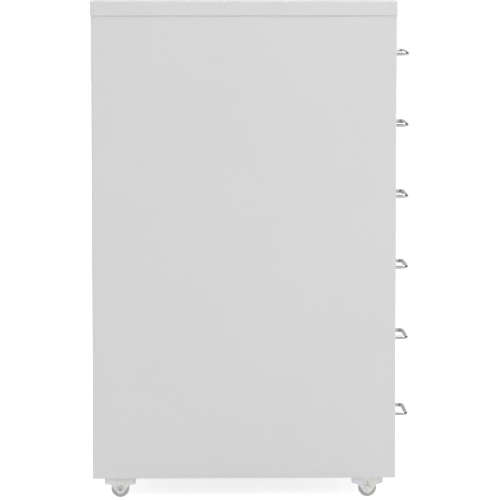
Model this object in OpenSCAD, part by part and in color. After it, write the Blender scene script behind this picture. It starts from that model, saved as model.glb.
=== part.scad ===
// Small mobile drawer cabinet: a folded sheet-steel carcass on four fixed castors, with six
// drawers that hang by their rolled rims in pressed runners.
// The drawers open towards -Y, +Z is up, and the wheels stand on z = 0.

/* [Carcass] */
// Width over the side panels
body_w = 278; // [240:1:400]
// Depth over the side panels
body_d = 420; // [380:1:560]
// Thickness of the carcass sheet
sheet_t = 0.8; // [0.6:0.1:1.2]
// Inside radius of the folds in sheet steel
fold_r = 0.7; // [0.4:0.1:1]
// Width of each side panel's face beside the drawers
front_flange = 12; // [11:0.5:18]
// Depth of the leg that each front face turns back into the carcass
front_return = 11; // [6:0.5:12]
// Width of the side panels' rear flanges
rear_flange = 12; // [8:0.5:14]
// How far the side panels hang below the underside of the bottom panel
side_drop = 7.5; // [2:0.5:12]
// Height of the bottom panel's upturned flanges
bottom_flange = 9; // [5:0.5:9]
// Width of the flanges that carry the top cover
cover_seat = 20; // [16:0.5:26]

/* [Top cover] */
// Height of the cover's turned-down skirt
skirt_h = 20.5; // [14:0.5:30]
// How far the cover stands out past the carcass on each side
cover_overhang = 1; // [1:0.1:3]
// Thickness of the cover's sheet
cover_t = 0.8; // [0.6:0.1:1]
// Outside radius of the cover's edges and corners
cover_r = 1.8; // [1.2:0.1:3]
// Diameter of the weld studs under the cover
stud_d = 4; // [3:0.5:5]
// Length of the weld studs
stud_l = 11; // [8:0.5:16]
// Distance of the studs from the middle of the cover
stud_x = 90; // [50:1:100]

/* [Front rails] */
// Height of the top rail's face that shows under the cover
top_rail_show = 4; // [2:0.5:20]
// Height of the bottom rail's face
bottom_rail_h = 19; // [18:0.5:60]
// Depth of the rails
rail_depth = 14; // [13:0.5:15]
// Height of the rails' inner legs
rail_leg = 6; // [3:0.5:6]

/* [Uprights] */
// Depth of an upright's hat section, without its weld flanges
post_w = 26; // [16:1:40]
// Width of an upright's weld flanges
post_flange = 8; // [5:0.5:10]
// Thickness of the uprights' sheet
post_t = 1; // [0.8:0.1:1.5]
// Distance from the front or rear face of the carcass to the nearest upright
post_inset = 16; // [15:0.5:30]
// Width of the hooks that hang the runners in the uprights' slots
hook_w = 8; // [5:0.5:10]
// Height of a hook's root
hook_h = 3; // [2:0.25:4]
// How far a hook reaches down behind the upright
hook_drop = 3; // [2:0.25:4]

/* [Drawers] */
// Height of the five upper drawer fronts
front_h = 98; // [80:1:140]
// Height of the lowest drawer front
deep_front_h = 114; // [80:1:240]
// Gap between drawer fronts, and between them and the rails
front_gap = 2; // [1:0.5:4]
// Gap between a drawer front and the carcass on each side
side_gap = 1.5; // [1:0.25:3]
// How far the drawer fronts lie behind the front of the carcass
front_inset = 0.5; // [0:0.25:1.5]
// Depth of a drawer front's folded edges
front_depth = 15; // [12:0.5:15]
// Width of the lips turned in behind a drawer front
front_lip = 17; // [15:0.5:20]
// Outside radius of a drawer front's edges
front_r = 1.6; // [1:0.1:3]
// Thickness of the drawers' sheet
tray_t = 0.7; // [0.6:0.1:0.9]
// Height from the lower edge of a front to the underside of its tray
tray_lift = 3; // [1.5:0.5:6]
// Height from the top of a tray's rim to the upper edge of its front
rim_drop = 10; // [7:0.5:16]
// Width of the lips along the top of a tray's front and back walls
tray_lip = 8; // [4:0.5:12]
// How far a drawer pulls out
travel = 290; // [200:1:300]

/* [Rims and runners] */
// How far a rim stands out from the tray's wall
rim_w = 8; // [7:0.25:9]
// Height of a rim's turned-down edge
rim_hook = 6; // [5:0.25:8]
// Thickness of the runners' sheet
runner_t = 1.2; // [1:0.1:1.5]
// Height of the lip that guides the rim from inside
guide_h = 4; // [2.5:0.25:4.5]
// Clearance between the guide lip and the tray's wall
guide_gap = 2; // [1:0.25:3]
// Clearance between a rim and the runner's web
web_gap = 1.8; // [1.6:0.1:2.5]
// Space between the top of a rim and the runner's upper lip
head_room = 2; // [1.5:0.1:3]
// Distance from the front of the carcass to the runners
runner_front = 17; // [16:0.5:25]
// Distance from the rear of the carcass to the runners
runner_rear = 14; // [8:0.5:30]
// Thickness of the nylon glides under the rims
glide_t = 1.5; // [1:0.1:2]
// Length of the glide at the front of each runner
front_glide_l = 24; // [12:1:40]
// Length of the glide at the rear of each rim
rear_glide_l = 22; // [12:1:30]
// Running gap between a rim and its glide
glide_gap = 0.2; // [0.1:0.05:0.4]
// Gap left at a stop when a drawer is fully open or shut
stop_gap = 0.4; // [0.2:0.1:0.8]
// Length of the pull-out stop pressed down from a runner's upper lip
stop_l = 3; // [2:0.5:6]

/* [Handles] */
// Diameter of the handle's rod
handle_d = 6; // [4:0.25:8]
// Distance between the middles of the handle's two legs
handle_pitch = 96; // [64:1:128]
// How far the handle stands out from the drawer front
handle_out = 24; // [18:0.5:35]
// Radius of the handle's bends, to the middle of the rod
handle_bend = 6; // [4:0.25:8]
// Diameter of the handle screws
screw_d = 3; // [2.5:0.25:3]
// Depth of the screws in the handle's legs
screw_hold = 8; // [5:0.5:10]

/* [Castors] */
// Height of a castor from the floor to its plate
castor_h = 36; // [30:0.5:50]
// Diameter of a wheel
wheel_d = 25; // [20:0.5:26]
// Width of a wheel's tread
wheel_w = 10; // [6:0.5:11]
// Diameter of a castor's axle
axle_d = 4; // [3:0.25:5]
// Radial clearance between a wheel and its axle
axle_gap = 0.05; // [0.02:0.01:0.1]
// Length of a castor's plate, front to rear
plate_l = 43; // [40:0.5:48]
// Thickness of a castor's pressed steel
fork_t = 1.5; // [1.2:0.1:2]
// Clearance between a wheel's hub and the cheeks
fork_gap = 0.4; // [0.2:0.1:0.8]
// How far a wheel's hub stands out past its tread on each side
hub_rise = 0.6; // [0.2:0.1:1]
// Radius of the cheeks' round lower ends
cheek_r = 7; // [6.5:0.5:8]
// How far the middle of that rounding lies below the axle
nose_drop = 1; // [0:0.25:1.5]
// Height above the axle at which the cheeks start to narrow
shoulder_h = 6.5; // [5:0.5:8]
// Height above the axle at which the cheeks are as wide as the wheel
waist_h = 4.5; // [2:0.5:5]
// Distance between a castor plate's holes, front to rear
hole_pitch_l = 33; // [30:0.5:34]
// Diameter of the castor screws
castor_screw_d = 4; // [3:0.25:4]
// Distance from the middle of a castor to the front or rear of the carcass
castor_inset = 38; // [37:0.5:60]
// Distance from the middle of a castor to the side of the carcass
castor_side_inset = 22; // [21:0.5:60]
// Diameter of the small hole in one cheek
cheek_hole_d = 2.4; // [1.5:0.1:3]
// Height of that hole above the axle
cheek_hole_h = 8; // [7.5:0.25:9]

/* [Hidden] */
$fn = 48;
eps = 0.01;
bend_steps = 5;
// Play between parts that only have to go together
fit = 0.2;
DRAWERS = 6;
LOWEST = DRAWERS;
CORNERS = ["front_left", "front_right", "rear_left", "rear_right"];

// Plan of the carcass: the handles stand out in front and the cover behind, so the origin is
// under the middle of the whole
handle_reach = handle_out - front_inset;
front_y = (handle_reach - body_d - cover_overhang) / 2;
rear_y = front_y + body_d;
mid_y = (front_y + rear_y) / 2;
wall_in = body_w / 2 - sheet_t;
opening = body_w / 2 - front_flange;
back_y = rear_y - 2 * sheet_t;

// Levels, from the floor up
bottom_z = castor_h;
skirt_z = castor_h - side_drop;
rail_top_z = skirt_z + bottom_rail_h;
lowest_front_z = rail_top_z + front_gap;
lowest_top_z = lowest_front_z + deep_front_h;
highest_top_z = lowest_top_z + (DRAWERS - 1) * (front_gap + front_h);
top_rail_z = highest_top_z + front_gap;
cover_edge_z = top_rail_z + top_rail_show;
cover_top_z = cover_edge_z + skirt_h;
shell_top_z = cover_top_z - cover_t;
post_z = bottom_z + bottom_flange + 2 * sheet_t;
post_top_z = shell_top_z - sheet_t;
// The side panels stop below the rounding inside the cover's edge
side_top_z = shell_top_z - cover_r + cover_t;

// Across a drawer, from the carcass inwards
web_in = opening - runner_t;
rim_x = web_in - web_gap;
tray_x = rim_x - rim_w;
guide_x = tray_x + guide_gap;

// Along a drawer, from front to rear
face_y = front_y + front_inset;
tray_front_y = face_y + front_depth;
runner_y0 = front_y + runner_front;
runner_y1 = rear_y - runner_rear;
tray_rear_y = runner_y1 - runner_t - stop_gap;
rear_glide_y = tray_rear_y - rear_glide_l;
stop_y = rear_glide_y - travel - stop_gap;
front_post_y = front_y + post_inset;
rear_post_y = rear_y - post_inset - post_w - 2 * post_flange;
hooks_y = [for (y = [front_post_y, rear_post_y]) y + post_flange + post_w / 2];

// Heights of a runner, counted from the top of the rim that it carries
ledge_top = -rim_hook - glide_gap - glide_t;
ledge_bottom = ledge_top - runner_t;
lip_bottom = head_room;
lip_top = lip_bottom + runner_t;
rider_top = head_room - glide_gap;
// How far the pull-out stop hangs in the way of the rear glide
stop_bite = 1;
// How far the hooks' roots lie below the top of the rim
hook_sink = 1;
hook_z = -hook_sink - hook_h;

// Castors
axle_z = wheel_d / 2;
fork_in = wheel_w / 2 + hub_rise + fork_gap;
fork_out = fork_in + fork_t;
hub_w = 2 * (fork_in - fork_gap);
castor_x = body_w / 2 - castor_side_inset;
plate_corner_r = 3;
screw_tip = 1.5;

// Fasteners: width across flats and height of nuts, size of heads, share of the screw's diameter
function nut_flat(d) = 1.75 * d;
function nut_h(d) = 0.8 * d;
function head_d(d) = 1.9 * d;
function head_h(d) = 0.6 * d;
hole_pitch_w = 2 * (fork_out + fit) + head_d(castor_screw_d);
plate_w = hole_pitch_w + head_d(castor_screw_d) + 4 * fit;

// ---- Drawer levels, counted from 1 at the top ----

function height_of(n) = n == LOWEST ? deep_front_h : front_h;
function bottom_of(n) = n == LOWEST
    ? lowest_front_z
    : lowest_top_z + front_gap + (LOWEST - 1 - n) * (front_h + front_gap);
function rim_of(n) = bottom_of(n) + height_of(n) - rim_drop;
function handle_z(n) = bottom_of(n) + height_of(n) / 2;

// ---- Folded sheet ----

function unit(v) = v / norm(v);
function left_of(v) = [-v.y, v.x];
function turned(v, a) = [v.x * cos(a) - v.y * sin(a), v.x * sin(a) + v.y * cos(a)];

// The fold at corner i of a path: its centre, its radii on and across from the path, and its arc
function fold_at(path, i, t, r) =
    let (before = unit(path[i] - path[i - 1]), after = unit(path[i + 1] - path[i]),
         side = sign(cross(before, after)), angle = acos(before * after),
         near = side > 0 ? r : r + t, far = side > 0 ? r + t : r,
         centre = path[i] - before * near * tan(angle / 2) + side * near * left_of(before))
    [centre, near, far, -side * left_of(before), side * angle];
function fold_arc(f, radius, order) =
    [for (k = order) f[0] + radius * turned(f[3], f[4] * k / bend_steps)];

// Outline of a strip of sheet of thickness t that lies to the right of a path
function strip(path, t, r) =
    let (last = len(path) - 1,
         folds = [for (i = [1:last - 1]) fold_at(path, i, t, r)],
         onward = [0:bend_steps], back = [bend_steps:-1:0],
         start_off = -t * left_of(unit(path[1] - path[0])),
         end_off = -t * left_of(unit(path[last] - path[last - 1])))
    concat(
        [path[0]],
        [for (f = folds) each fold_arc(f, f[1], onward)],
        [path[last], path[last] + end_off],
        [for (i = [len(folds) - 1:-1:0]) each fold_arc(folds[i], folds[i][2], back)],
        [path[0] + start_off]
    );

// A folded strip drawn in plan and standing up from z0 to z1
module standing_fold(path, t, z0, z1) {
    translate([0, 0, z0])
        linear_extrude(z1 - z0) polygon(strip(path, t, fold_r));
}

// A folded strip drawn as seen from the side, [y, z], and running across from -half to half
module crossing_fold(path, t, half) {
    rotate([90, 0, 90])
        translate([0, 0, -half])
            linear_extrude(2 * half) polygon(strip(path, t, fold_r));
}

// A folded strip drawn as seen from the front, [x, z], and running from y0 back to y1
module lengthwise(y0, y1) {
    translate([0, y1, 0])
        rotate([90, 0, 0])
            linear_extrude(y1 - y0) children();
}

// ---- Pressed and rounded shapes ----

module round_rect(w, d, r) {
    square([w - 2 * r, d], center = true);
    square([w, d - 2 * r], center = true);
    for (x = [-1, 1], y = [-1, 1])
        translate([x * (w / 2 - r), y * (d / 2 - r)]) circle(r);
}

// A block standing on z = 0 whose upright edges and top edges are rounded
module soft_block(w, d, h, r) {
    intersection() {
        linear_extrude(h) round_rect(w, d, r);
        rotate([90, 0, 0])
            linear_extrude(d, center = true) translate([0, h / 2 - r]) round_rect(w, h + 2 * r, r);
        rotate([90, 0, 90])
            linear_extrude(w, center = true) translate([0, h / 2 - r]) round_rect(d, h + 2 * r, r);
    }
}

// A pan pressed from sheet, open at z = 0
module pan(w, d, h, t, r) {
    difference() {
        soft_block(w, d, h, r);
        translate([0, 0, -eps])
            soft_block(w - 2 * t, d - 2 * t, h - t + eps, r - t);
    }
}

module both_sides() {
    children();
    mirror([1, 0, 0]) children();
}

// ---- Fasteners ----

// A pan-head screw whose head stands on z = 0 and whose shank goes down
module screw(d, length) {
    recess_l = 0.6 * head_d(d);
    recess_w = 0.2 * d;
    difference() {
        union() {
            translate([0, 0, -length]) cylinder(d = d, h = length + eps);
            rotate_extrude() pan_head_half(d);
        }
        for (a = [0, 90])
            rotate(a)
                translate([0, 0, head_h(d)]) cube([recess_l, recess_w, head_h(d)], center = true);
    }
}

// Half of a pan head's section: a low cylinder with a rounded shoulder
module pan_head_half(d) {
    r = head_h(d) / 2;
    square([head_d(d) / 2, r]);
    square([head_d(d) / 2 - r, head_h(d)]);
    translate([head_d(d) / 2 - r, r]) intersection() {
        circle(r);
        square(r);
    }
}

module nut(d) {
    difference() {
        cylinder(d = nut_flat(d) / cos(30), h = nut_h(d), $fn = 6);
        translate([0, 0, -eps]) cylinder(d = d + fit, h = nut_h(d) + 2 * eps);
    }
}

// ---- Top cover ----

// In the middle of the flanges that carry the cover
module at_studs(z) {
    for (x = [-stud_x, stud_x], y = [front_y + cover_seat / 2, back_y - cover_seat / 2])
        translate([x, y, z]) children();
}

// The lid of the carcass, with weld studs under it
module top_cover() {
    color([0.84, 0.84, 0.84]) {
        translate([0, mid_y, cover_edge_z])
            pan(body_w + 2 * cover_overhang, body_d + 2 * cover_overhang, skirt_h, cover_t, cover_r);
        at_studs(shell_top_z - stud_l) cylinder(d = stud_d, h = stud_l + cover_t / 2);
    }
}

module cover_nuts() {
    color([0.7, 0.71, 0.72])
        at_studs(shell_top_z - sheet_t - nut_h(stud_d)) nut(stud_d);
}

module stud_holes() {
    at_studs(shell_top_z - 2 * sheet_t) cylinder(d = stud_d + 2 * fit, h = 4 * sheet_t);
}

// ---- Side, back and bottom panels ----

// One sheet folded in at the rear, and in and back again at the front
module right_side_panel() {
    outer = body_w / 2;
    plan = [
        [outer - rear_flange, rear_y],
        [outer, rear_y],
        [outer, front_y],
        [opening, front_y],
        [opening, front_y + front_return]
    ];
    color([0.84, 0.84, 0.84]) standing_fold(plan, sheet_t, skirt_z, side_top_z);
}

module left_side_panel() {
    mirror([1, 0, 0]) right_side_panel();
}

// Lies between the folds of the side panels' rear flanges, and turns forward at the top to carry
// the cover
module back_panel() {
    outer_y = rear_y - sheet_t;
    side_view = [
        [outer_y - cover_seat, shell_top_z],
        [outer_y, shell_top_z],
        [outer_y, skirt_z]
    ];
    color([0.82, 0.82, 0.82]) difference() {
        crossing_fold(side_view, sheet_t, wall_in - fold_r - fit);
        stud_holes();
    }
}

// A shallow tray with its flanges up, which carries the castors. Two tongues at its front close
// the folds of the side panels.
module bottom_panel() {
    y0 = front_y + rail_depth;
    corner_r = fold_r + sheet_t;
    tongue_y = front_y + sheet_t + fold_r;
    color([0.82, 0.82, 0.82]) difference() {
        union() {
            translate([0, (y0 + back_y) / 2, bottom_z + sheet_t + bottom_flange])
                mirror([0, 0, 1])
                    pan(2 * wall_in, back_y - y0, sheet_t + bottom_flange, sheet_t, corner_r);
            both_sides() translate([opening + sheet_t, tongue_y, bottom_z])
                cube([wall_in - opening - sheet_t, y0 + 2 * corner_r - tongue_y, sheet_t]);
        }
        at_castors() at_plate_holes()
            translate([0, 0, bottom_z - eps])
                cylinder(d = castor_screw_d + 2 * fit, h = sheet_t + 2 * eps);
    }
}

// ---- Front rails ----

// Plates that close a rail's ends, welded to the side panels' front legs
module rail_ends(z0, z1) {
    for (x = [-opening, opening - sheet_t])
        translate([x, front_y + sheet_t / 2, z0 + sheet_t / 2])
            cube([sheet_t, front_return - sheet_t / 2, z1 - z0 - sheet_t]);
}

module top_rail() {
    inner_y = front_y + rail_depth;
    side_view = [
        [inner_y, top_rail_z + rail_leg],
        [inner_y, top_rail_z],
        [front_y, top_rail_z],
        [front_y, shell_top_z],
        [front_y + cover_seat, shell_top_z]
    ];
    color([0.84, 0.84, 0.84]) {
        difference() {
            crossing_fold(side_view, sheet_t, opening);
            stud_holes();
        }
        rail_ends(top_rail_z, shell_top_z);
    }
}

module bottom_rail() {
    inner_y = front_y + rail_depth;
    side_view = [
        [inner_y, bottom_z],
        [inner_y, skirt_z],
        [front_y, skirt_z],
        [front_y, rail_top_z],
        [inner_y, rail_top_z],
        [inner_y, rail_top_z - rail_leg]
    ];
    color([0.84, 0.84, 0.84]) {
        crossing_fold(side_view, sheet_t, opening);
        rail_ends(skirt_z, rail_top_z);
    }
}

// ---- Uprights ----

// A hat section welded inside the right side panel, with its front edge at y0 and a slot at the
// height of each runner
module post(y0) {
    y1 = y0 + post_flange;
    y2 = y1 + post_w;
    y3 = y2 + post_flange;
    plan = [
        [wall_in, y3],
        [wall_in, y2 - post_t],
        [opening + post_t, y2 - post_t],
        [opening + post_t, y1 + post_t],
        [wall_in, y1 + post_t],
        [wall_in, y0]
    ];
    color([0.8, 0.8, 0.8]) difference() {
        standing_fold(plan, post_t, post_z, post_top_z);
        for (n = [1:DRAWERS])
            translate([opening - eps, (y1 + y2 - hook_w) / 2 - fit, rim_of(n) + hook_z])
                cube([post_t + 2 * eps, hook_w + 2 * fit, hook_h + hook_drop + fit]);
    }
}

module corner_post(corner) {
    y = is_front(corner) ? front_post_y : rear_post_y;
    if (is_left(corner)) mirror([1, 0, 0]) post(y);
    else post(y);
}

// ---- Corners ----

function is_front(corner) = corner == CORNERS[0] || corner == CORNERS[1];
function is_left(corner) = corner == CORNERS[0] || corner == CORNERS[2];
function castor_place(corner) = [
    is_left(corner) ? -castor_x : castor_x,
    is_front(corner) ? front_y + castor_inset : rear_y - castor_inset,
    0
];

// The front castors have the domed ends of their axles outwards, and the rear ones inwards
function castor_turn(corner) = is_front(corner) == is_left(corner) ? 180 : 0;

module at_castor(corner) {
    translate(castor_place(corner)) rotate(castor_turn(corner)) children();
}

module at_castors() {
    for (corner = CORNERS) at_castor(corner) children();
}

module at_plate_holes() {
    for (x = [-1, 1], y = [-1, 1])
        translate([x * hole_pitch_w / 2, y * hole_pitch_l / 2, 0]) children();
}

// ---- Runners ----

// A channel that holds the rim: a ledge with a guide lip below, a web, and a lip above
module runner_section() {
    path = [
        [guide_x + runner_t, ledge_bottom + guide_h],
        [guide_x + runner_t, ledge_top],
        [web_in, ledge_top],
        [web_in, lip_bottom],
        [guide_x + runner_t, lip_bottom]
    ];
    polygon(strip(path, runner_t, fold_r));
}

// A hook turned down behind an upright, in [x, z]
module hook_section() {
    translate([web_in + runner_t / 2, hook_z])
        square([post_t + 1.5 * runner_t, hook_h]);
    translate([opening + post_t, hook_z - hook_drop])
        square([runner_t, hook_drop + hook_h]);
}

module runner() {
    pocket = guide_x + runner_t + fit;
    pocket_w = web_in + runner_t / 2 - pocket;
    lengthwise(runner_y0, runner_y1) runner_section();
    // The rear end, folded in as the stop for the shut drawer
    lengthwise(runner_y1 - runner_t, runner_y1)
        translate([pocket, ledge_top - runner_t / 2])
            square([pocket_w, lip_top - ledge_top]);
    // The stop pressed down from the upper lip, which catches the rear glide
    lengthwise(stop_y - stop_l, stop_y)
        translate([pocket, rider_top - stop_bite])
            square([pocket_w, lip_top - runner_t / 2 - rider_top + stop_bite]);
    for (y = hooks_y)
        lengthwise(y - hook_w / 2, y + hook_w / 2) hook_section();
}

module runners(n) {
    color([0.72, 0.73, 0.74])
        both_sides() translate([0, 0, rim_of(n)]) runner();
}

// Nylon pads on the front ends of the ledges
module runner_glides() {
    x0 = guide_x + runner_t + fold_r;
    color([0.93, 0.93, 0.91])
        for (n = [1:DRAWERS])
            both_sides()
                translate([x0, runner_y0, rim_of(n) + ledge_top])
                    cube([web_in - fold_r - x0, front_glide_l, glide_t]);
}

// ---- Drawers ----

// A pressed front: a face, four folded edges, and lips turned in behind for the tray
module drawer_front(n) {
    w = 2 * (opening - side_gap);
    h = height_of(n);
    through = 4 * tray_t;
    color([0.85, 0.85, 0.85])
        translate([0, face_y, bottom_of(n) + h / 2])
            rotate([90, 0, 0]) difference() {
                translate([0, 0, -front_depth]) soft_block(w, h, front_depth, front_r);
                translate([0, 0, tray_t - front_depth])
                    soft_block(
                        w - 2 * tray_t, h - 2 * tray_t, front_depth - 2 * tray_t, front_r - tray_t
                    );
                translate([0, 0, -front_depth])
                    cube([w - 2 * front_lip, h - 2 * front_lip, through], center = true);
                at_legs() cylinder(d = screw_d + 2 * fit, h = through, center = true);
            }
}

module at_legs() {
    for (x = [-1, 1]) translate([x * handle_pitch / 2, 0, 0]) children();
}

// The tray's section: floor, walls, and rims that turn out and down
function tray_path(zb) = [
    [-rim_x, -rim_hook],
    [-rim_x, 0],
    [tray_t - tray_x, 0],
    [tray_t - tray_x, zb + tray_t],
    [tray_x - tray_t, zb + tray_t],
    [tray_x - tray_t, 0],
    [rim_x, 0],
    [rim_x, -rim_hook]
];

module drawer_tray(n) {
    rim = rim_of(n);
    zb = bottom_of(n) + tray_lift - rim;
    front_wall = [[tray_front_y, zb], [tray_front_y, 0], [tray_front_y + tray_lip, 0]];
    rear_wall = [[tray_rear_y - tray_lip, 0], [tray_rear_y, 0], [tray_rear_y, zb]];
    color([0.85, 0.85, 0.85])
        translate([0, 0, rim]) difference() {
            union() {
                lengthwise(tray_front_y, tray_rear_y) polygon(strip(tray_path(zb), tray_t, fold_r));
                crossing_fold(front_wall, tray_t, tray_x - tray_t / 2);
                crossing_fold(rear_wall, tray_t, tray_x - tray_t / 2);
            }
            translate([0, tray_front_y, handle_z(n) - rim])
                at_legs() rotate([90, 0, 0])
                    cylinder(d = screw_d + 2 * fit, h = 4 * tray_t, center = true);
        }
}

// Nylon shoes clipped round the rear ends of the rims: they slide on the ledges and catch the stops
module rear_glides(n) {
    x0 = guide_x + runner_t + 2 * fit;
    zb = bottom_of(n) + tray_lift - rim_of(n);
    color([0.93, 0.93, 0.91])
        translate([0, 0, rim_of(n)])
            both_sides() lengthwise(rear_glide_y, tray_rear_y) difference() {
                translate([x0, ledge_top + glide_gap])
                    square([web_in - 2 * fit - x0, rider_top - ledge_top - glide_gap]);
                polygon(strip(tray_path(zb), tray_t, fold_r));
            }
}

// ---- Handles ----

// A rod bent into a bow, drilled for a screw in each leg
module drawer_handle(n) {
    leg = handle_out - handle_d / 2 - handle_bend;
    bore_d = screw_d + fit / 2;
    bore_l = screw_hold + 1;
    color([0.75, 0.76, 0.78])
        translate([0, face_y, handle_z(n)]) rotate([90, 0, 0]) difference() {
            union() {
                at_legs() cylinder(d = handle_d, h = leg);
                for (s = [0, 1]) mirror([s, 0, 0])
                    translate([handle_pitch / 2 - handle_bend, 0, leg])
                        rotate([90, 0, 0])
                            rotate_extrude(angle = 90) translate([handle_bend, 0]) circle(d = handle_d);
                translate([0, 0, leg + handle_bend]) rotate([0, 90, 0])
                    cylinder(d = handle_d, h = handle_pitch - 2 * handle_bend, center = true);
            }
            at_legs() translate([0, 0, -eps]) cylinder(d = bore_d, h = bore_l);
        }
}

module handle_screws(n) {
    color([0.7, 0.71, 0.72])
        translate([0, tray_front_y + tray_t, handle_z(n)])
            at_legs() rotate([-90, 0, 0]) screw(screw_d, tray_t + front_depth + screw_hold);
}

// ---- Castors ----

// One cheek of the fork in [y, z]: square under the plate, drawn in to the wheel, and round below
// the axle
module cheek_outline() {
    nose_z = axle_z - nose_drop;
    waist = [wheel_d / 2, waist_h + nose_drop];
    touch = atan2(waist.y, waist.x) - acos(cheek_r / norm(waist));
    side = [
        [plate_l / 2, castor_h - fork_t / 2 - nose_z],
        [plate_l / 2, shoulder_h + nose_drop],
        waist,
        cheek_r * [cos(touch), sin(touch)]
    ];
    translate([0, nose_z]) {
        polygon(concat(side, [for (i = [len(side) - 1:-1:0]) [-side[i].x, side[i].y]]));
        circle(cheek_r);
    }
}

// Plate and fork pressed from one piece, with a small hole in the cheek at +X
module castor_bracket() {
    difference() {
        union() {
            translate([0, 0, castor_h - fork_t])
                linear_extrude(fork_t) round_rect(plate_w, plate_l, plate_corner_r);
            for (x = [-fork_out, fork_in])
                translate([x, 0, 0]) rotate([90, 0, 90]) linear_extrude(fork_t) cheek_outline();
        }
        translate([0, 0, axle_z]) rotate([0, 90, 0])
            cylinder(d = axle_d, h = 3 * fork_out, center = true);
        translate([fork_in - eps, 0, axle_z + cheek_hole_h]) rotate([0, 90, 0])
            cylinder(d = cheek_hole_d, h = fork_t + 2 * eps);
        at_plate_holes()
            translate([0, 0, castor_h - fork_t - eps])
                cylinder(d = castor_screw_d + 2 * fit, h = fork_t + 2 * eps);
    }
}

// A rivet with a domed head at +X, closed at -X into a ring with a hollow in its middle
module castor_axle() {
    head_r = 1.2 * axle_d;
    rise = 0.4 * axle_d;
    dome_r = (head_r * head_r + rise * rise) / (2 * rise);
    ring_r = axle_d;
    ring_h = 0.3 * axle_d;
    hollow_d = 0.6 * axle_d;
    hollow_l = 2 * ring_h;
    translate([0, 0, axle_z]) rotate([0, 90, 0]) difference() {
        union() {
            cylinder(d = axle_d, h = 2 * fork_out, center = true);
            translate([0, 0, fork_out]) intersection() {
                translate([0, 0, rise - dome_r]) sphere(dome_r);
                cylinder(r = head_r, h = rise);
            }
            translate([0, 0, -fork_out]) mirror([0, 0, 1])
                rotate_extrude() ring_section(ring_r, ring_h);
        }
        translate([0, 0, -fork_out - ring_h - eps]) cylinder(d = hollow_d, h = hollow_l);
    }
}

// Half of a disc with a rounded outer edge, in [radius, height]
module ring_section(r, h) {
    square([r - h, h]);
    translate([r - h, 0]) intersection() {
        circle(h);
        square(h);
    }
}

module castor_axles() {
    color([0.7, 0.71, 0.72]) at_castors() castor_axle();
}

module castor_screws() {
    length = fork_t + sheet_t + nut_h(castor_screw_d) + screw_tip;
    color([0.7, 0.71, 0.72])
        at_castors() at_plate_holes()
            translate([0, 0, castor_h - fork_t]) mirror([0, 0, 1]) screw(castor_screw_d, length);
}

module castor_nuts() {
    color([0.7, 0.71, 0.72])
        at_castors() at_plate_holes()
            translate([0, 0, bottom_z + sheet_t]) nut(castor_screw_d);
}

// Half of the wheel's section, [radius, width]: a rounded tread, a dished web and a hub
module wheel_section() {
    tread_r = 2;
    rim_t = 0.2 * wheel_d;
    hub_r = axle_d / 2 + 2.5;
    web_t = 0.4 * wheel_w;
    difference() {
        union() {
            intersection() {
                round_rect(wheel_d, wheel_w, tread_r);
                translate([wheel_d / 2 - rim_t, -wheel_w / 2]) square([rim_t, wheel_w]);
            }
            translate([0, -web_t / 2]) square([wheel_d / 2 - rim_t + eps, web_t]);
            translate([0, -hub_w / 2]) square([hub_r, hub_w]);
        }
        translate([-eps, -hub_w]) square([axle_d / 2 + axle_gap + eps, 2 * hub_w]);
    }
}

module wheel(corner) {
    color([0.55, 0.55, 0.56])
        translate(castor_place(corner) + [0, 0, axle_z])
            rotate([0, 90, 0]) rotate_extrude() wheel_section();
}

// ---- Assembly ----

top_cover();
cover_nuts();
left_side_panel();
right_side_panel();
back_panel();
bottom_panel();
top_rail();
bottom_rail();
runner_glides();
castor_axles();
castor_screws();
castor_nuts();

for (corner = CORNERS) {
    corner_post(corner);
    color([0.78, 0.79, 0.8]) at_castor(corner) castor_bracket();
    wheel(corner);
}

for (n = [1:DRAWERS]) {
    runners(n);
    drawer_front(n);
    drawer_tray(n);
    drawer_handle(n);
    handle_screws(n);
    rear_glides(n);
}
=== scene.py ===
import math

import bmesh
import bpy
from mathutils import Matrix, Vector


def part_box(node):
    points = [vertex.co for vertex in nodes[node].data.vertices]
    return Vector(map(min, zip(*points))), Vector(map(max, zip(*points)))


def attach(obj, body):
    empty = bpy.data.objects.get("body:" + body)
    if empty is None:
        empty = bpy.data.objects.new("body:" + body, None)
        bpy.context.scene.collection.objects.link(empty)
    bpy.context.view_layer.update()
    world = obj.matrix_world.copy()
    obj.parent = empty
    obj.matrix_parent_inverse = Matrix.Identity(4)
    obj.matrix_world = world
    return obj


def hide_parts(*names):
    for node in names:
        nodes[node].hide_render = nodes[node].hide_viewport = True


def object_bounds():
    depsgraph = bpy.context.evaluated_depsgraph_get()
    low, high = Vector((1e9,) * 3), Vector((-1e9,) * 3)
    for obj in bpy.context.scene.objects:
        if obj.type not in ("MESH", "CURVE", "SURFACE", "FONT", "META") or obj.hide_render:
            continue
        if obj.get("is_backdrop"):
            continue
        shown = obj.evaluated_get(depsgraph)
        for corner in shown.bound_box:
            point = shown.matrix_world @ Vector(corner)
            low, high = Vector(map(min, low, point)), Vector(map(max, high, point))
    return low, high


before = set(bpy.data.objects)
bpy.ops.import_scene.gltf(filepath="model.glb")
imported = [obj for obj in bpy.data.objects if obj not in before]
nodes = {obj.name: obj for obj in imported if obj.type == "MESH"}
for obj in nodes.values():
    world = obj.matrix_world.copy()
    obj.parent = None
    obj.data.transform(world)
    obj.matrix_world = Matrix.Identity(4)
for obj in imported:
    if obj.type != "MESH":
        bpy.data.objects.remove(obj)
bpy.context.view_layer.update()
scene = bpy.context.scene
scene.view_settings.view_transform = "Standard"

# ---- Studio ----
# A white room: the camera stands well off to the left of the cabinet and a little above its
# top, so that the side is seen almost square on and the drawers open towards the right.
CAMERA_PLACE = (-5.240, 0.120, 0.789)
CAMERA_AIM = (-0.140, 0.0032, 0.3465)
CAMERA_LENS = 267.1
CAMERA_SENSOR = 36
CAMERA_REACH = 80


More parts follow.
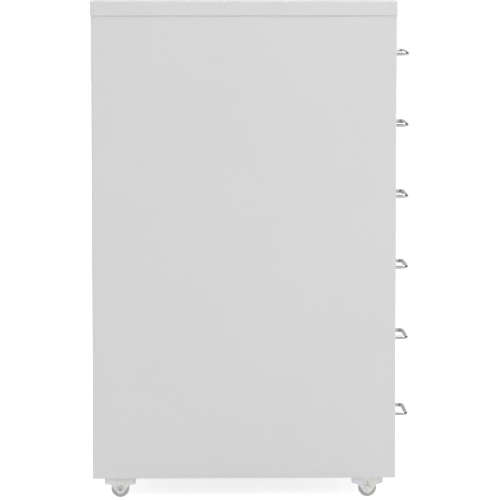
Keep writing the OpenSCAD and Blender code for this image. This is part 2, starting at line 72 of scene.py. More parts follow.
def facing(place, aim):
    """The turn of a camera or a lamp at one place that looks at another."""
    return (Vector(aim) - Vector(place)).to_track_quat("-Z", "Y").to_euler()


camera_data = bpy.data.cameras.new("camera")
camera_data.lens = CAMERA_LENS
camera_data.sensor_width = CAMERA_SENSOR
camera_data.clip_end = CAMERA_REACH
camera = bpy.data.objects.new("camera", camera_data)
camera.location = CAMERA_PLACE
camera.rotation_euler = facing(CAMERA_PLACE, CAMERA_AIM)
scene.collection.objects.link(camera)
scene.camera = camera

# The room itself: white to the camera, softer as a source of light. What shines in it sees a
# white ceiling over dark walls, a pale backdrop opposite the camera, and on the side that the
# drawers face a room that is dark up to the ceiling.
ROOM_LIGHT = 0.46
WALL_TONE = 0.02
WALL_TOP = (0.08, 0.38)
BACKDROP_EDGE = (0.75, 0.95)
BACKDROP_TONE = 0.6
DARK_SIDE = (-0.85, -0.35)


def feed(made, inputs):
    """Gives each input of a shader node a plain value or another node's output."""
    for socket, value in inputs.items():
        if isinstance(value, bpy.types.NodeSocket):
            made.id_data.links.new(value, made.inputs[socket])
        else:
            made.inputs[socket].default_value = value
    return made


def node(tree, kind, inputs=None):
    """A shader node with what it is fed."""
    return feed(tree.nodes.new("ShaderNode" + kind), inputs or {})


def worked(tree, operation, *terms):
    """The result of a Math node over plain numbers and other nodes' outputs."""
    made = node(tree, "Math")
    made.operation = operation
    return feed(made, dict(enumerate(terms))).outputs[0]


def spread(tree, value, ends, low=0, high=1, kind="LINEAR"):
    """The stretch of a value between two ends, spread from a low to a high level."""
    made = node(tree, "MapRange")
    made.interpolation_type = kind
    feed(made, {"Value": value, "From Min": ends[0], "From Max": ends[1],
                "To Min": low, "To Max": high})
    return made.outputs["Result"]


room = bpy.data.worlds.new("room")
scene.world = room
room.use_nodes = True
tree = room.node_tree
tree.nodes.clear()
toward = node(tree, "TexCoord").outputs["Generated"]
axes = node(tree, "SeparateXYZ", {0: toward})
ceiling = spread(tree, axes.outputs["Z"], WALL_TOP, low=WALL_TONE, kind="SMOOTHSTEP")
backdrop = spread(tree, axes.outputs["X"], BACKDROP_EDGE, high=BACKDROP_TONE, kind="SMOOTHSTEP")
dark_side = spread(tree, axes.outputs["Y"], DARK_SIDE, kind="SMOOTHSTEP")
overhead = worked(tree, "MULTIPLY", ceiling, dark_side)
mirrored = worked(tree, "MAXIMUM", overhead, backdrop)
path = node(tree, "LightPath")
shine = node(tree, "Mix", {"Factor": path.outputs["Is Glossy Ray"],
                           "A": ROOM_LIGHT, "B": mirrored})
level = worked(tree, "MAXIMUM", shine.outputs["Result"], path.outputs["Is Camera Ray"])
sky = node(tree, "Background", {"Color": (1, 1, 1, 1), "Strength": level})
node(tree, "OutputWorld", {"Surface": sky.outputs[0]})

# Five square soft boxes: name, place and power
LAMP_SIZE = 2.0
LAMP_AIM = (0, 0, 0.35)
LAMPS = (
    ("top_lamp", (-0.6, -0.4, 3.2), 32),
    ("key_lamp", (-2.3, -2.0, 2.7), 55.5),
    ("fill_lamp", (-3.2, 1.6, 0.9), 9),
    ("front_lamp", (2.4, -2.6, 1.6), 20),
    ("back_lamp", (2.2, 2.6, 1.8), 34))

for name, place, power in LAMPS:
    lamp_data = bpy.data.lights.new(name, "AREA")
    lamp_data.shape = "SQUARE"
    lamp_data.size = LAMP_SIZE
    lamp_data.energy = power
    lamp = bpy.data.objects.new(name, lamp_data)
    lamp.location = place
    lamp.rotation_euler = facing(place, LAMP_AIM)
    scene.collection.objects.link(lamp)

# The floor is plain white and keeps the cabinet's shadow
FLOOR_RADIUS = 14
FLOOR_SIDES = 96
FLOOR_TONE = 0.9
FLOOR_GLOW = 0.76
FLOOR_SHINE = 0.28

bm = bmesh.new()
bmesh.ops.create_circle(bm, cap_ends=True, radius=FLOOR_RADIUS, segments=FLOOR_SIDES)
floor_mesh = bpy.data.meshes.new("floor")
bm.to_mesh(floor_mesh)
bm.free()
floor = bpy.data.objects.new("floor", floor_mesh)
scene.collection.objects.link(floor)
floor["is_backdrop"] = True
floor_material = bpy.data.materials.new("studio_floor")
floor_material.use_nodes = True
tree = floor_material.node_tree
tree.nodes.clear()
path = node(tree, "LightPath")
mirrored = worked(tree, "MULTIPLY", path.outputs["Is Glossy Ray"], FLOOR_SHINE)
level = worked(tree, "MULTIPLY_ADD", path.outputs["Is Camera Ray"], FLOOR_GLOW, mirrored)
glow = node(tree, "Emission", {"Strength": level})
matt = node(tree, "BsdfDiffuse", {"Color": (FLOOR_TONE, FLOOR_TONE, FLOOR_TONE, 1)})
both = node(tree, "AddShader", {0: matt.outputs[0], 1: glow.outputs[0]})
node(tree, "OutputMaterial", {"Surface": both.outputs[0]})
floor_mesh.materials.append(floor_material)

# ---- Carcass ----
# Folded and welded steel sheet 0.8 mm thick, powder-coated a light neutral grey all over: a
# silky coat with a very fine ripple, and a little paler along the edges as a painted highlight.
CARCASS_GREY = (0.657, 0.657, 0.657)
CARCASS_EDGE = (0.702, 0.702, 0.702)
FLOAT, COLOUR, VECTOR = "NodeSocketFloat", "NodeSocketColor", "NodeSocketVector"


def node_group(name, inputs, outputs):
    """An empty shader group with named sockets: what it is given and what it puts out."""
    group = bpy.data.node_groups.new(name, "ShaderNodeTree")
    for label, kind in inputs.items():
        group.interface.new_socket(label, in_out="INPUT", socket_type=kind)
    for label, kind in outputs.items():
        group.interface.new_socket(label, in_out="OUTPUT", socket_type=kind)
    given = group.nodes.new("NodeGroupInput").outputs
    put = group.nodes.new("NodeGroupOutput").inputs
    return group, given, put


def mixed(tree, share, first, second, kind="MIX"):
    """Two colours mixed by the share of the second, or one laid over the other."""
    made = node(tree, "Mix")
    made.data_type = "RGBA"
    made.blend_type = kind
    return feed(made, {"Factor": share, "A": first, "B": second}).outputs["Result"]


# Slow changes of tone and polish, as any coat or plating has
CLOUD_DETAIL = 4
CLOUD_BREAKUP = 0.55
CLOUD_SPAN = (0.3, 0.7)

clouding, given, put = node_group(
    "clouding",
    {"Tone": COLOUR, "Shade": FLOAT, "Scale": FLOAT, "Polish": FLOAT, "Dullness": FLOAT},
    {"Color": COLOUR, "Roughness": FLOAT})
place = node(clouding, "TexCoord").outputs["Object"]
cloud = node(clouding, "TexNoise", {"Vector": place, "Scale": given["Scale"],
                                    "Detail": CLOUD_DETAIL, "Roughness": CLOUD_BREAKUP})
cloudy = spread(clouding, cloud.outputs["Fac"], CLOUD_SPAN)
darker = node(clouding, "VectorMath")
darker.operation = "SCALE"
feed(darker, {0: given["Tone"], "Scale": given["Shade"]})
blend = mixed(clouding, cloudy, darker.outputs["Vector"], given["Tone"])
polish = spread(clouding, cloudy, (0, 1), low=given["Polish"], high=given["Dullness"])
clouding.links.new(blend, put["Color"])
clouding.links.new(polish, put["Roughness"])

# The small relief of a coat, a plating or a moulding: a ripple, and finer pits on it
PIT_FINENESS = 5
PIT_DEPTH = 0.3

grain, given, put = node_group("grain", {"Scale": FLOAT}, {"Height": FLOAT})
place = node(grain, "TexCoord").outputs["Object"]
ripple = node(grain, "TexNoise", {"Vector": place, "Scale": given["Scale"], "Detail": 1})
finer = worked(grain, "MULTIPLY", given["Scale"], PIT_FINENESS)
pits = node(grain, "TexNoise", {"Vector": place, "Scale": finer, "Detail": 0})
deep = worked(grain, "MULTIPLY", pits.outputs["Fac"], PIT_DEPTH)
grain.links.new(worked(grain, "ADD", ripple.outputs["Fac"], deep), put["Height"])

# Sharp edges: rounded to the light, and given another tone there: wear, and where that tone is
# paler than the surface, a painted highlight
EDGE_SAMPLES = 4
EDGE_TURN = (1, 0.75)

edges, given, put = node_group(
    "edges",
    {"Color": COLOUR, "Edge Color": COLOUR, "Radius": FLOAT, "Amount": FLOAT},
    {"Color": COLOUR, "Normal": VECTOR})
rounded = node(edges, "Bevel", {"Radius": given["Radius"]})
rounded.samples = EDGE_SAMPLES
plain = node(edges, "NewGeometry")
agree = node(edges, "VectorMath")
agree.operation = "DOT_PRODUCT"
feed(agree, {0: rounded.outputs["Normal"], 1: plain.outputs["Normal"]})
edge_mask = spread(edges, agree.outputs["Value"], EDGE_TURN)
# The edge tone is wear, and where it is paler than the surface, a painted highlight
wear_and_highlight = worked(edges, "MULTIPLY", edge_mask, given["Amount"])
edges.links.new(mixed(edges, wear_and_highlight, given["Color"], given["Edge Color"]), put["Color"])
edges.links.new(rounded.outputs["Normal"], put["Normal"])


def placed(tree, group, inputs):
    """A group in a material, as a node with the group's own name."""
    made = node(tree, "Group")
    made.node_tree = group
    made.name = group.name
    return feed(made, inputs)


def finish(name, tone, edge_tone, shade, clouds, polish, dullness, grains, relief, edge_wear_and_highlight,
           edge=0.0004, metal=0):
    """A material from the three groups."""
    material = bpy.data.materials.new(name)
    material.use_nodes = True
    tree = material.node_tree
    coat = placed(tree, clouding, {"Tone": (*tone, 1), "Shade": shade, "Scale": clouds,
                                   "Polish": polish, "Dullness": dullness})
    rim = placed(tree, edges, {"Color": coat.outputs["Color"], "Edge Color": (*edge_tone, 1),
                               "Radius": edge, "Amount": edge_wear_and_highlight})
    fine = placed(tree, grain, {"Scale": grains})
    bump = node(tree, "Bump", {"Strength": 1, "Distance": relief,
                               "Height": fine.outputs["Height"],
                               "Normal": rim.outputs["Normal"]})
    surface = tree.nodes["Principled BSDF"].inputs
    surface["Metallic"].default_value = metal
    tree.links.new(rim.outputs["Color"], surface["Base Color"])
    tree.links.new(coat.outputs["Roughness"], surface["Roughness"])
    tree.links.new(bump.outputs["Normal"], surface["Normal"])
    return material


def dress(material, *names):
    """CAD nodes take a material in place of their own."""
    for name in names:
        mesh = nodes[name].data
        mesh.materials.clear()
        mesh.materials.append(material)


carcass_paint = finish(
    "carcass_paint", CARCASS_GREY, CARCASS_EDGE, shade=0.985, clouds=5,
    polish=0.50, dullness=0.60, grains=520, relief=0.00002, edge_wear_and_highlight=0.6)
dress(carcass_paint, "left_side_panel", "right_side_panel", "back_panel", "bottom_panel",
      "top_rail", "bottom_rail", "top_cover")

# ---- Uprights and runners ----
# Pressed from zinc-coated sheet and left bare: the coat has crystallised in dull and bright
# flakes a few millimetres across.
ZINC_SHEET = (0.62, 0.635, 0.65)
ZINC_EDGE = (0.50, 0.51, 0.52)
FLAKES = 170
FLAKE_SHADE = 0.80
CORNERS = ("front_left", "front_right", "rear_left", "rear_right")
DRAWERS = range(1, 7)

zinc_sheet = finish(
    "zinc_sheet", ZINC_SHEET, ZINC_EDGE, shade=0.9, clouds=14,
    polish=0.34, dullness=0.5, grains=900, relief=0.000004, edge_wear_and_highlight=0.5, metal=1)
tree = zinc_sheet.node_tree
place = node(tree, "TexCoord").outputs["Object"]
flake = node(tree, "TexVoronoi", {"Vector": place, "Scale": FLAKES})
dull = node(tree, "SeparateColor", {"Color": flake.outputs["Color"]})
shade = spread(tree, dull.outputs["Red"], (0, 1), low=FLAKE_SHADE)
tone = mixed(tree, 1, tree.nodes["edges"].outputs["Color"], shade, kind="MULTIPLY")
tree.links.new(tone, tree.nodes["Principled BSDF"].inputs["Base Color"])
dress(zinc_sheet, *[corner + "_post" for corner in CORNERS],
      *[f"runners_{n}" for n in DRAWERS])

# The glides are white nylon, moulded, with the faint bloom of a worn slide
NYLON = (0.80, 0.79, 0.75)
NYLON_EDGE = (0.84, 0.83, 0.80)
NYLON_MILKINESS = 0.15
NYLON_DEPTH = 0.002

nylon = finish(
    "nylon", NYLON, NYLON_EDGE, shade=0.96, clouds=60,
    polish=0.35, dullness=0.5, grains=2500, relief=0.000006, edge=0.0003, edge_wear_and_highlight=0.8)
surface = nylon.node_tree.nodes["Principled BSDF"].inputs
surface["Subsurface Weight"].default_value = NYLON_MILKINESS
surface["Subsurface Scale"].default_value = NYLON_DEPTH
dress(nylon, "runner_glides", *[f"rear_glides_{n}" for n in DRAWERS])

# ---- Castors ----
# A fixed castor: plate and fork are pressed from 1.5 mm steel and zinc-plated, a moulded grey
# wheel turns between the cheeks on a rivet with a domed head, and four screws hold the plate.
CASTOR_STRAW = (0.78, 0.775, 0.735)
CASTOR_BLUE = (0.74, 0.755, 0.785)
CASTOR_EDGE = (0.82, 0.82, 0.82)
TINT_SCALE = 32
TINT_SPAN = (0.4, 0.6)
# The plate, its corners and its holes
PLATE_HALF_W = 0.0157
PLATE_HALF_L = 0.0215
PLATE_CORNER = 0.003
PLATE_TOP = 0.036
PLATE_HOLE_R = 0.0022
PLATE_HOLES = [(x, y) for x in (-0.0115, 0.0115) for y in (-0.0165, 0.0165)]
HOLE_SIDES = 20
# The fork: its cheeks' two faces from the middle of the castor, the axle, and their outline
FORK_T = 0.0015
FORK_IN = 0.006
FORK_OUT = FORK_IN + FORK_T
AXLE_Z = 0.0125
AXLE_R = 0.002
AXLE_SIDES = 24
CHEEK_R = 0.007
NOSE_DROP = 0.001
CHEEK_SHOULDER = 0.0065
CHEEK_WAIST = (0.0125, 0.0045)
NOSE_STEPS = 28
SHOULDER_ROUND = 0.001
SMALL_HOLE_R = 0.001
SMALL_HOLE_RISE = 0.0085
# What a pressing's edges and corners are rounded by, and from which angles on
PRESS_ROUND = 0.0003
CORNER_STEPS = 5
EDGE_STEPS = 2
ROUNDED_FROM = math.radians(35)
SMOOTH_BELOW = math.radians(38)
SAME_PLACE = 0.000001

castor_zinc = finish(
    "castor_zinc", CASTOR_STRAW, CASTOR_EDGE, shade=0.86, clouds=110,
    polish=0.50, dullness=0.66, grains=1200, relief=0.000006, edge=0.0003, edge_wear_and_highlight=0.7, metal=1)
# The passivated plating is faintly straw-coloured in some places and faintly blue in others
tree = castor_zinc.node_tree
place = node(tree, "TexCoord").outputs["Object"]
drift = node(tree, "TexNoise", {"Vector": place, "Scale": TINT_SCALE, "Detail": 1})
where = spread(tree, drift.outputs["Fac"], TINT_SPAN)
tint = mixed(tree, where, (*CASTOR_STRAW, 1), (*CASTOR_BLUE, 1))
tree.links.new(tint, tree.nodes["clouding"].inputs["Tone"])


def put_in(name, bm, material, body, replaced):
    """A finished mesh becomes a piece that rides on a body in place of a CAD node."""
    bmesh.ops.recalc_face_normals(bm, faces=bm.faces)
    mesh = bpy.data.meshes.new(name)
    bm.to_mesh(mesh)
    bm.free()
    mesh.shade_smooth()
    mesh.set_sharp_from_angle(angle=SMOOTH_BELOW)
    mesh.materials.append(material)
    piece = bpy.data.objects.new(name, mesh)
    scene.collection.objects.link(piece)
    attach(piece, body)
    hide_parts(replaced)
    return piece


def round_edges(bm, width):
    """Rounds every edge that turns by more than a shallow angle."""
    sharp = [e for e in bm.edges
             if len(e.link_faces) == 2 and e.calc_face_angle() > ROUNDED_FROM]
    bmesh.ops.bevel(bm, geom=sharp, offset=width, segments=EDGE_STEPS, profile=0.5,
                    affect="EDGES", material=-1, clamp_overlap=True)


def ring_of(bm, radius, sides, matrix):
    """The edges of an open circle, for a hole or a section."""
    made = bmesh.ops.create_circle(bm, radius=radius, segments=sides, matrix=matrix)
    verts = set(made["verts"])
    return [e for e in bm.edges if set(e.verts) <= verts]


def outline(bm, points, rounds=()):
    """A closed loop of edges through the points, its corners rounded where asked."""
    verts = [bm.verts.new(p) for p in points]
    for a, b in zip(verts, verts[1:] + verts[:1]):
        bm.edges.new((a, b))
    for vert, size in zip(verts, rounds):
        if size:
            bmesh.ops.bevel(bm, geom=[vert], offset=size, segments=CORNER_STEPS, profile=0.5,
                            affect="VERTICES", material=-1)
    return list(bm.edges)


def press(bm, thickness):
    """Fills the loops of a flat outline and its holes, and gives the sheet its thickness."""
    bmesh.ops.triangle_fill(bm, edges=list(bm.edges), use_beauty=True)
    made = bmesh.ops.extrude_face_region(bm, geom=list(bm.faces), use_keep_orig=True)
    moved = [v for v in made["geom"] if isinstance(v, bmesh.types.BMVert)]
    bmesh.ops.translate(bm, verts=moved, vec=thickness)
    bmesh.ops.recalc_face_normals(bm, faces=bm.faces)


def cheek(x, holed):
    """One cheek of the fork at x: drawn in to the wheel's width and round at the axle."""
    bm = bmesh.new()
    waist_y, waist_z = CHEEK_WAIST[0], CHEEK_WAIST[1] + NOSE_DROP
    touch = math.atan2(waist_z, waist_y) - math.acos(CHEEK_R / math.hypot(waist_y, waist_z))
    sweep = math.pi + 2 * touch
    turns = [touch - sweep * i / NOSE_STEPS for i in range(NOSE_STEPS + 1)]
    nose = [(CHEEK_R * math.cos(a), CHEEK_R * math.sin(a) - NOSE_DROP) for a in turns]
    top = PLATE_TOP - FORK_T / 2 - AXLE_Z
    right = [(PLATE_HALF_L, top), (PLATE_HALF_L, CHEEK_SHOULDER), CHEEK_WAIST]
    left = [(-y, z) for y, z in reversed(right)]
    points = [(x, y, z + AXLE_Z) for y, z in right + nose + left]
    rounds = [0, SHOULDER_ROUND, SHOULDER_ROUND] + [0] * len(nose) + [SHOULDER_ROUND] * 2 + [0]
    outline(bm, points, rounds)
    axle_hole = Matrix.Translation((x, 0, AXLE_Z)) @ Matrix.Rotation(math.pi / 2, 4, "Y")
    ring_of(bm, AXLE_R, AXLE_SIDES, axle_hole)
    if holed:
        small_hole = Matrix.Translation((0, 0, SMALL_HOLE_RISE)) @ axle_hole
        ring_of(bm, SMALL_HOLE_R, HOLE_SIDES, small_hole)
    press(bm, (FORK_T, 0, 0))
    round_edges(bm, PRESS_ROUND)
    return bm


def plate():
    """The castor's plate with its four holes."""
    bm = bmesh.new()
    z = PLATE_TOP - FORK_T
    corners = [(PLATE_HALF_W, PLATE_HALF_L, z), (-PLATE_HALF_W, PLATE_HALF_L, z),
               (-PLATE_HALF_W, -PLATE_HALF_L, z), (PLATE_HALF_W, -PLATE_HALF_L, z)]
    outline(bm, corners, [PLATE_CORNER] * len(corners))
    for x, y in PLATE_HOLES:
        ring_of(bm, PLATE_HOLE_R, HOLE_SIDES, Matrix.Translation((x, y, z)))
    press(bm, (0, 0, FORK_T))
    round_edges(bm, PRESS_ROUND)
    return bm


def gather(parts):
    """Several meshes in one."""
    whole = bmesh.new()
    for bm in parts:
        mesh = bpy.data.meshes.new("part")
        bm.to_mesh(mesh)
        bm.free()
        whole.from_mesh(mesh)
        bpy.data.meshes.remove(mesh)
    return whole


def set_down(bm, matrix):
    """Moves a mesh to its place and hands it on."""
    bmesh.ops.transform(bm, matrix=matrix, verts=bm.verts)
    return bm


def spun(points, sides):
    """A section of (radius, width) points turned about the X axis."""
    bm = bmesh.new()
    verts = [bm.verts.new((x, 0, r)) for r, x in points]
    for a, b in zip(verts, verts[1:]):
        bm.edges.new((a, b))
    if points[0][0] > 0 and points[-1][0] > 0:
        bm.edges.new((verts[-1], verts[0]))
    bmesh.ops.spin(bm, geom=list(bm.verts) + list(bm.edges), cent=(0, 0, 0), axis=(1, 0, 0),
                   angle=2 * math.pi, steps=sides, use_merge=True)
    bmesh.ops.remove_doubles(bm, verts=bm.verts, dist=SAME_PLACE)
    bmesh.ops.recalc_face_normals(bm, faces=bm.faces)
    return bm


# The cheek with the small hole faces outwards at the front and inwards at the rear
CASTOR_TURN = {"front_left": math.pi, "front_right": 0, "rear_left": 0, "rear_right": math.pi}
CASTOR_PLACE = {}
CASTOR_STAND = {}
for corner in CORNERS:
    low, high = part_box(corner + "_castor_bracket")
    CASTOR_PLACE[corner] = Vector(((low[0] + high[0]) / 2, (low[1] + high[1]) / 2, 0))
    CASTOR_STAND[corner] = (Matrix.Translation(CASTOR_PLACE[corner])
                            @ Matrix.Rotation(CASTOR_TURN[corner], 4, "Z"))
    parts = [plate(), cheek(-FORK_OUT, False), cheek(FORK_IN, True)]
    put_in(corner + "_fork", set_down(gather(parts), CASTOR_STAND[corner]), castor_zinc,
           "carcass", corner + "_castor_bracket")

# The rivet: a domed head on one cheek, and on the other a rolled ring with a hollow middle,
# its face left slightly dished by the tool; the ring is painted a darker steel tone as painted
# shade
ROLLED_SHADED_STEEL = (0.53, 0.53, 0.535)
ROLLED_EDGE = (0.60, 0.60, 0.605)
HEAD_R = 0.0048
HEAD_RISE = 0.0016
DOME_STEPS = 8
# The rolled end's section: (radius, rise over the cheek) of its side, its face and its hollow
ROLLED_END = (
    (0.004, 0), (0.00394, 0.0004), (0.0038, 0.00077), (0.00355, 0.00105), (0.0032, 0.0012),
    (0.0029, 0.00117), (0.0014, 0.00095),
    (0.0012, 0.00072), (0.00102, -0.0012), (0, -0.0012))
SHADED_END_RISE = 0.0002
RIVET_SIDES = 48

rolled_steel_shaded = finish(
    "rolled_steel_shaded", ROLLED_SHADED_STEEL, ROLLED_EDGE, shade=0.85, clouds=160,
    polish=0.2, dullness=0.34, grains=1800, relief=0.000006, edge=0.0002, edge_wear_and_highlight=0.6, metal=1)
dome_r = (HEAD_R ** 2 + HEAD_RISE ** 2) / (2 * HEAD_RISE)
dome_angle = math.asin(HEAD_R / dome_r)
dome_x = FORK_OUT + HEAD_RISE - dome_r
dome_turns = [dome_angle * i / DOME_STEPS for i in range(DOME_STEPS + 1)]
dome = [(dome_r * math.sin(a), dome_x + dome_r * math.cos(a)) for a in dome_turns]
rolled = [(r, -FORK_OUT - rise) for r, rise in ROLLED_END]
section = dome + [(AXLE_R, FORK_OUT), (AXLE_R, -FORK_OUT)] + rolled
rivets = []
for corner in CORNERS:
    bm = spun(section, RIVET_SIDES)
    # Faces of the rolled end take the darker steel, which is painted shade
    for face in bm.faces:
        face.material_index = int(face.calc_center_median().x < -FORK_OUT - SHADED_END_RISE)
    rivets.append(set_down(bm, CASTOR_STAND[corner] @ Matrix.Translation((0, 0, AXLE_Z))))
piece = put_in("castor_rivets", gather(rivets), castor_zinc, "carcass",
               "castor_axles")
piece.data.materials.append(rolled_steel_shaded)

# The wheel is moulded: a slightly crowned tread with a fine seam round its middle, a raised
# ring inside the tread on each side, a thin web and a hub
WHEEL_GREY = (0.61, 0.61, 0.61)
WHEEL_EDGE = (0.65, 0.65, 0.65)
WHEEL_R = 0.0125
TREAD_HALF = 0.005
TREAD_FALL = 0.0003
TREAD_ROUND = 0.0016
TREAD_STEPS = 4
WHEEL_SIDES = 96
# Half the wheel's section, (radius, distance from the middle): seam, tread, ring, web and hub
WHEEL_SECTION = [
    (WHEEL_R, 0.00012), (0.01242, 0.0003),
    (0.0124, 0.003), (WHEEL_R - TREAD_FALL, TREAD_HALF),
    (0.0083, TREAD_HALF), (0.0077, 0.0046), (0.0075, 0.0024),
    (0.0051, 0.002),
    (0.0045, 0.0053), (0.0041, 0.0056), (0.00225, 0.0056), (0.00205, 0.0054)]

wheel_grey = finish(
    "wheel_grey", WHEEL_GREY, WHEEL_EDGE, shade=0.88, clouds=70,
    polish=0.42, dullness=0.6, grains=1800, relief=0.00002, edge_wear_and_highlight=0.5)


def on_shoulder(vert):
    """Whether a vertex of the wheel lies where its tread meets its sides."""
    return (abs(abs(vert.co.x) - TREAD_HALF) < SAME_PLACE
            and math.hypot(vert.co.y, vert.co.z) > WHEEL_R - 2 * TREAD_FALL)


section = WHEEL_SECTION + [(r, -x) for r, x in reversed(WHEEL_SECTION)]
for corner in CORNERS:
    bm = spun(section, WHEEL_SIDES)
    shoulders = [e for e in bm.edges if all(on_shoulder(v) for v in e.verts)]
    bmesh.ops.bevel(bm, geom=shoulders, offset=TREAD_ROUND, segments=TREAD_STEPS, profile=0.5,
                    affect="EDGES", material=-1, clamp_overlap=True)
    bmesh.ops.translate(bm, verts=bm.verts, vec=CASTOR_PLACE[corner] + Vector((0, 0, AXLE_Z)))
    put_in(corner + "_moulded_wheel", bm, wheel_grey, corner + "_wheel",
           corner + "_wheel")

# ---- Fasteners ----
# Zinc-plated steel screws with cross-recessed pan heads, and plain hexagon nuts: bright, very
# slightly blue, and cloudy from the bath.
BRIGHT_ZINC = (0.62, 0.635, 0.66)
BRIGHT_EDGE = (0.72, 0.73, 0.75)
CASTOR_SCREW = 0.004
CASTOR_SCREW_L = 0.007
STUD_X = 0.090
# Heads, recesses, tips and nuts in shares of the thread's diameter
HEAD_HALF = 0.95
HEAD_HEIGHT = 0.6
RECESS_REACH = 0.5
RECESS_HALF = 0.11
RECESS_DEPTH = 0.34
RECESS_TAPER = 0.7
TIP_R = 0.38
TIP_L = 0.12
NUT_FLAT = 1.75
NUT_HEIGHT = 0.8
NUT_EASE = 0.07
# The head's section in shares of its own radius and height, from its flat crown down
HEAD_SECTION = ((0.62, 1), (0.86, 0.90), (0.96, 0.72), (1, 0.45), (1, 0))
HEAD_SIDES = 32
BORE_PLAY = 0.0001
BORE_SIDES = 24

bright_zinc = finish(
    "bright_zinc", BRIGHT_ZINC, BRIGHT_EDGE, shade=0.86, clouds=90,
    polish=0.24, dullness=0.42, grains=1500, relief=0.000004, edge=0.0002, edge_wear_and_highlight=0.6, metal=1)


def drawn(bm, edges, ratio=1, move=(0, 0, 0), centre=(0, 0, 0)):
    """An open end goes on, widened about a centre and moved; returns its new end."""
    made = bmesh.ops.extrude_edge_only(bm, edges=edges)["geom"]
    verts = [v for v in made if isinstance(v, bmesh.types.BMVert)]
    bmesh.ops.scale(bm, verts=verts, vec=(ratio, ratio, ratio),
                    space=Matrix.Translation(-Vector(centre)))
    bmesh.ops.translate(bm, verts=verts, vec=move)
    fresh = set(verts)
    return [e for e in made if isinstance(e, bmesh.types.BMEdge) and set(e.verts) <= fresh]


def pan_screw(d, length):
    """A screw of thread d whose head stands on z = 0 and whose shank goes down."""
    bm = bmesh.new()
    top = HEAD_HEIGHT * d
    wide = HEAD_HALF * d
    arm, half = RECESS_REACH * d, RECESS_HALF * d
    cross = [(arm, -half), (arm, half), (half, half), (half, arm), (-half, arm), (-half, half),
             (-arm, half), (-arm, -half), (-half, -half), (-half, -arm), (half, -arm),
             (half, -half)]
    recess = outline(bm, [(x, y, top) for x, y in cross])
    section = [(r * wide, z * top) for r, z in HEAD_SECTION]
    section += [(d / 2, 0), (d / 2, TIP_L * d - length), (TIP_R * d, -length)]
    end = ring_of(bm, section[0][0], HEAD_SIDES, Matrix.Translation((0, 0, top)))
    bmesh.ops.triangle_fill(bm, edges=recess + end, use_beauty=True)
    deep = drawn(bm, recess, RECESS_TAPER, (0, 0, -RECESS_DEPTH * d), (0, 0, top))
    bmesh.ops.triangle_fill(bm, edges=deep, use_beauty=True)
    for (radius, z), (next_radius, next_z) in zip(section, section[1:]):
        end = drawn(bm, end, next_radius / radius, (0, 0, next_z - z), (0, 0, z))
    bmesh.ops.edgeloop_fill(bm, edges=end)
    return bm


def hexagon_nut(d):
    """A nut for thread d standing on z = 0, its bore open and its corners eased."""
    bm = bmesh.new()
    ring_of(bm, NUT_FLAT * d / 2 / math.cos(math.pi / 6), 6, Matrix.Identity(4))
    ring_of(bm, d / 2 + BORE_PLAY, BORE_SIDES, Matrix.Identity(4))
    press(bm, (0, 0, NUT_HEIGHT * d))
    round_edges(bm, NUT_EASE * d)
    return bm


screws, nuts = [], []
nut_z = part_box("castor_nuts")[0][2]
upside_down = Matrix.Rotation(math.pi, 4, "X")
for corner in CORNERS:
    for x, y in PLATE_HOLES:
        hole = CASTOR_PLACE[corner] + Vector((x, y, 0))
        below = Matrix.Translation(hole + Vector((0, 0, PLATE_TOP - FORK_T)))
        screws.append(set_down(pan_screw(CASTOR_SCREW, CASTOR_SCREW_L), below @ upside_down))
        above = Matrix.Translation(hole + Vector((0, 0, nut_z)))
        nuts.append(set_down(hexagon_nut(CASTOR_SCREW), above))
put_in("castor_pan_screws", gather(screws), bright_zinc, "carcass",
       "castor_screws")
put_in("castor_hexagon_nuts", gather(nuts), bright_zinc, "carcass",
       "castor_nuts")

low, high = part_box("cover_nuts")
reach = NUT_FLAT * CASTOR_SCREW / 2
nuts = [set_down(hexagon_nut(CASTOR_SCREW), Matrix.Translation((x, y, low[2])))
        for x in (-STUD_X, STUD_X) for y in (low[1] + reach, high[1] - reach)]
put_in("cover_hexagon_nuts", gather(nuts), bright_zinc, "carcass",
       "cover_nuts")

# ---- Drawers ----
# Fronts and trays are pressed from 0.7 mm steel and coated like the carcass. Two long screws
# from inside each drawer go through its front wall and its front into the handle's legs.
HANDLE_SCREW = 0.003
HANDLE_SCREW_L = 0.0237
LEG_X = 0.048

drawer_paint = finish(
    "drawer_paint", CARCASS_GREY, CARCASS_EDGE, shade=0.985, clouds=6,
    polish=0.50, dullness=0.60, grains=520, relief=0.00002, edge_wear_and_highlight=0.6)
head_inside = Matrix.Rotation(-math.pi / 2, 4, "X")
for n in DRAWERS:
    dress(drawer_paint, f"drawer_tray_{n}", f"drawer_front_{n}")
    low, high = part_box(f"handle_screws_{n}")
    head_y = high[1] - HEAD_HEIGHT * HANDLE_SCREW
    z = (low[2] + high[2]) / 2
    pair = [set_down(pan_screw(HANDLE_SCREW, HANDLE_SCREW_L),
                     Matrix.Translation((x, head_y, z)) @ head_inside)
            for x in (-LEG_X, LEG_X)]
    put_in(f"handle_pan_screws_{n}", gather(pair), bright_zinc, f"drawer_{n}",
           f"handle_screws_{n}")
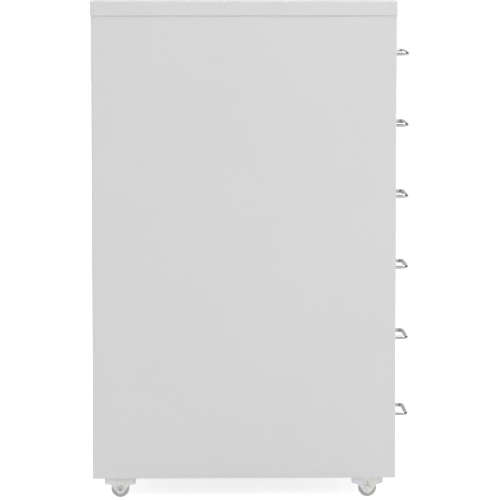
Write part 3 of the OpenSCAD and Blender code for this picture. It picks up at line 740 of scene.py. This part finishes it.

# ---- Handles ----
# A steel rod bent into a bow, polished and chrome-plated, its feet turned square to stand on
# the drawer front, held by a screw in each leg.
# The chrome tone is set darker than bright chrome: painted shade for dark surroundings in its
# reflections
CHROME = (0.45, 0.45, 0.455)
CHROME_EDGE = (0.53, 0.53, 0.535)
ROD_R = 0.00299
ROD_SIDES = 32
HANDLE_OUT = 0.024
ROD_BEND = 0.006
BEND_STEPS = 12
FOOT_CHAMFER = 0.0003
FOOT_R = ROD_R - FOOT_CHAMFER

chrome = finish(
    "chrome", CHROME, CHROME_EDGE, shade=0.94, clouds=30,
    polish=0.12, dullness=0.2, grains=1400, relief=0.000002, edge=0.0002, edge_wear_and_highlight=0.3, metal=1)


def bend(bm, edges, centre):
    """The open end of the rod goes round a quarter bend in the level plane; its new end."""
    made = bmesh.ops.spin(bm, geom=edges, cent=centre, axis=(0, 0, 1), angle=math.pi / 2,
                          steps=BEND_STEPS)["geom_last"]
    return [e for e in made if isinstance(e, bmesh.types.BMEdge)]


# Each handle is drawn from its left foot outwards, across, and back to its right foot
leg = HANDLE_OUT - ROD_R - ROD_BEND
for n in DRAWERS:
    low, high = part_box(f"drawer_handle_{n}")
    foot_y = high[1]
    z = (low[2] + high[2]) / 2
    bm = bmesh.new()
    foot = Matrix.Translation((-LEG_X, foot_y, z)) @ Matrix.Rotation(math.pi / 2, 4, "X")
    first = ring_of(bm, FOOT_R, ROD_SIDES, foot)
    end = drawn(bm, first, ROD_R / FOOT_R, (0, -FOOT_CHAMFER, 0), (-LEG_X, foot_y, z))
    end = drawn(bm, end, move=(0, FOOT_CHAMFER - leg, 0))
    end = bend(bm, end, (ROD_BEND - LEG_X, foot_y - leg, z))
    end = drawn(bm, end, move=(2 * (LEG_X - ROD_BEND), 0, 0))
    end = bend(bm, end, (LEG_X - ROD_BEND, foot_y - leg, z))
    end = drawn(bm, end, move=(0, leg - FOOT_CHAMFER, 0))
    end = drawn(bm, end, FOOT_R / ROD_R, (0, FOOT_CHAMFER, 0), (LEG_X, foot_y - FOOT_CHAMFER, z))
    bmesh.ops.edgeloop_fill(bm, edges=first)
    bmesh.ops.edgeloop_fill(bm, edges=end)
    put_in(f"bow_handle_{n}", bm, chrome, f"drawer_{n}", f"drawer_handle_{n}")

# ---- End ----
# The box round the dressed cabinet.
low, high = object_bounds()
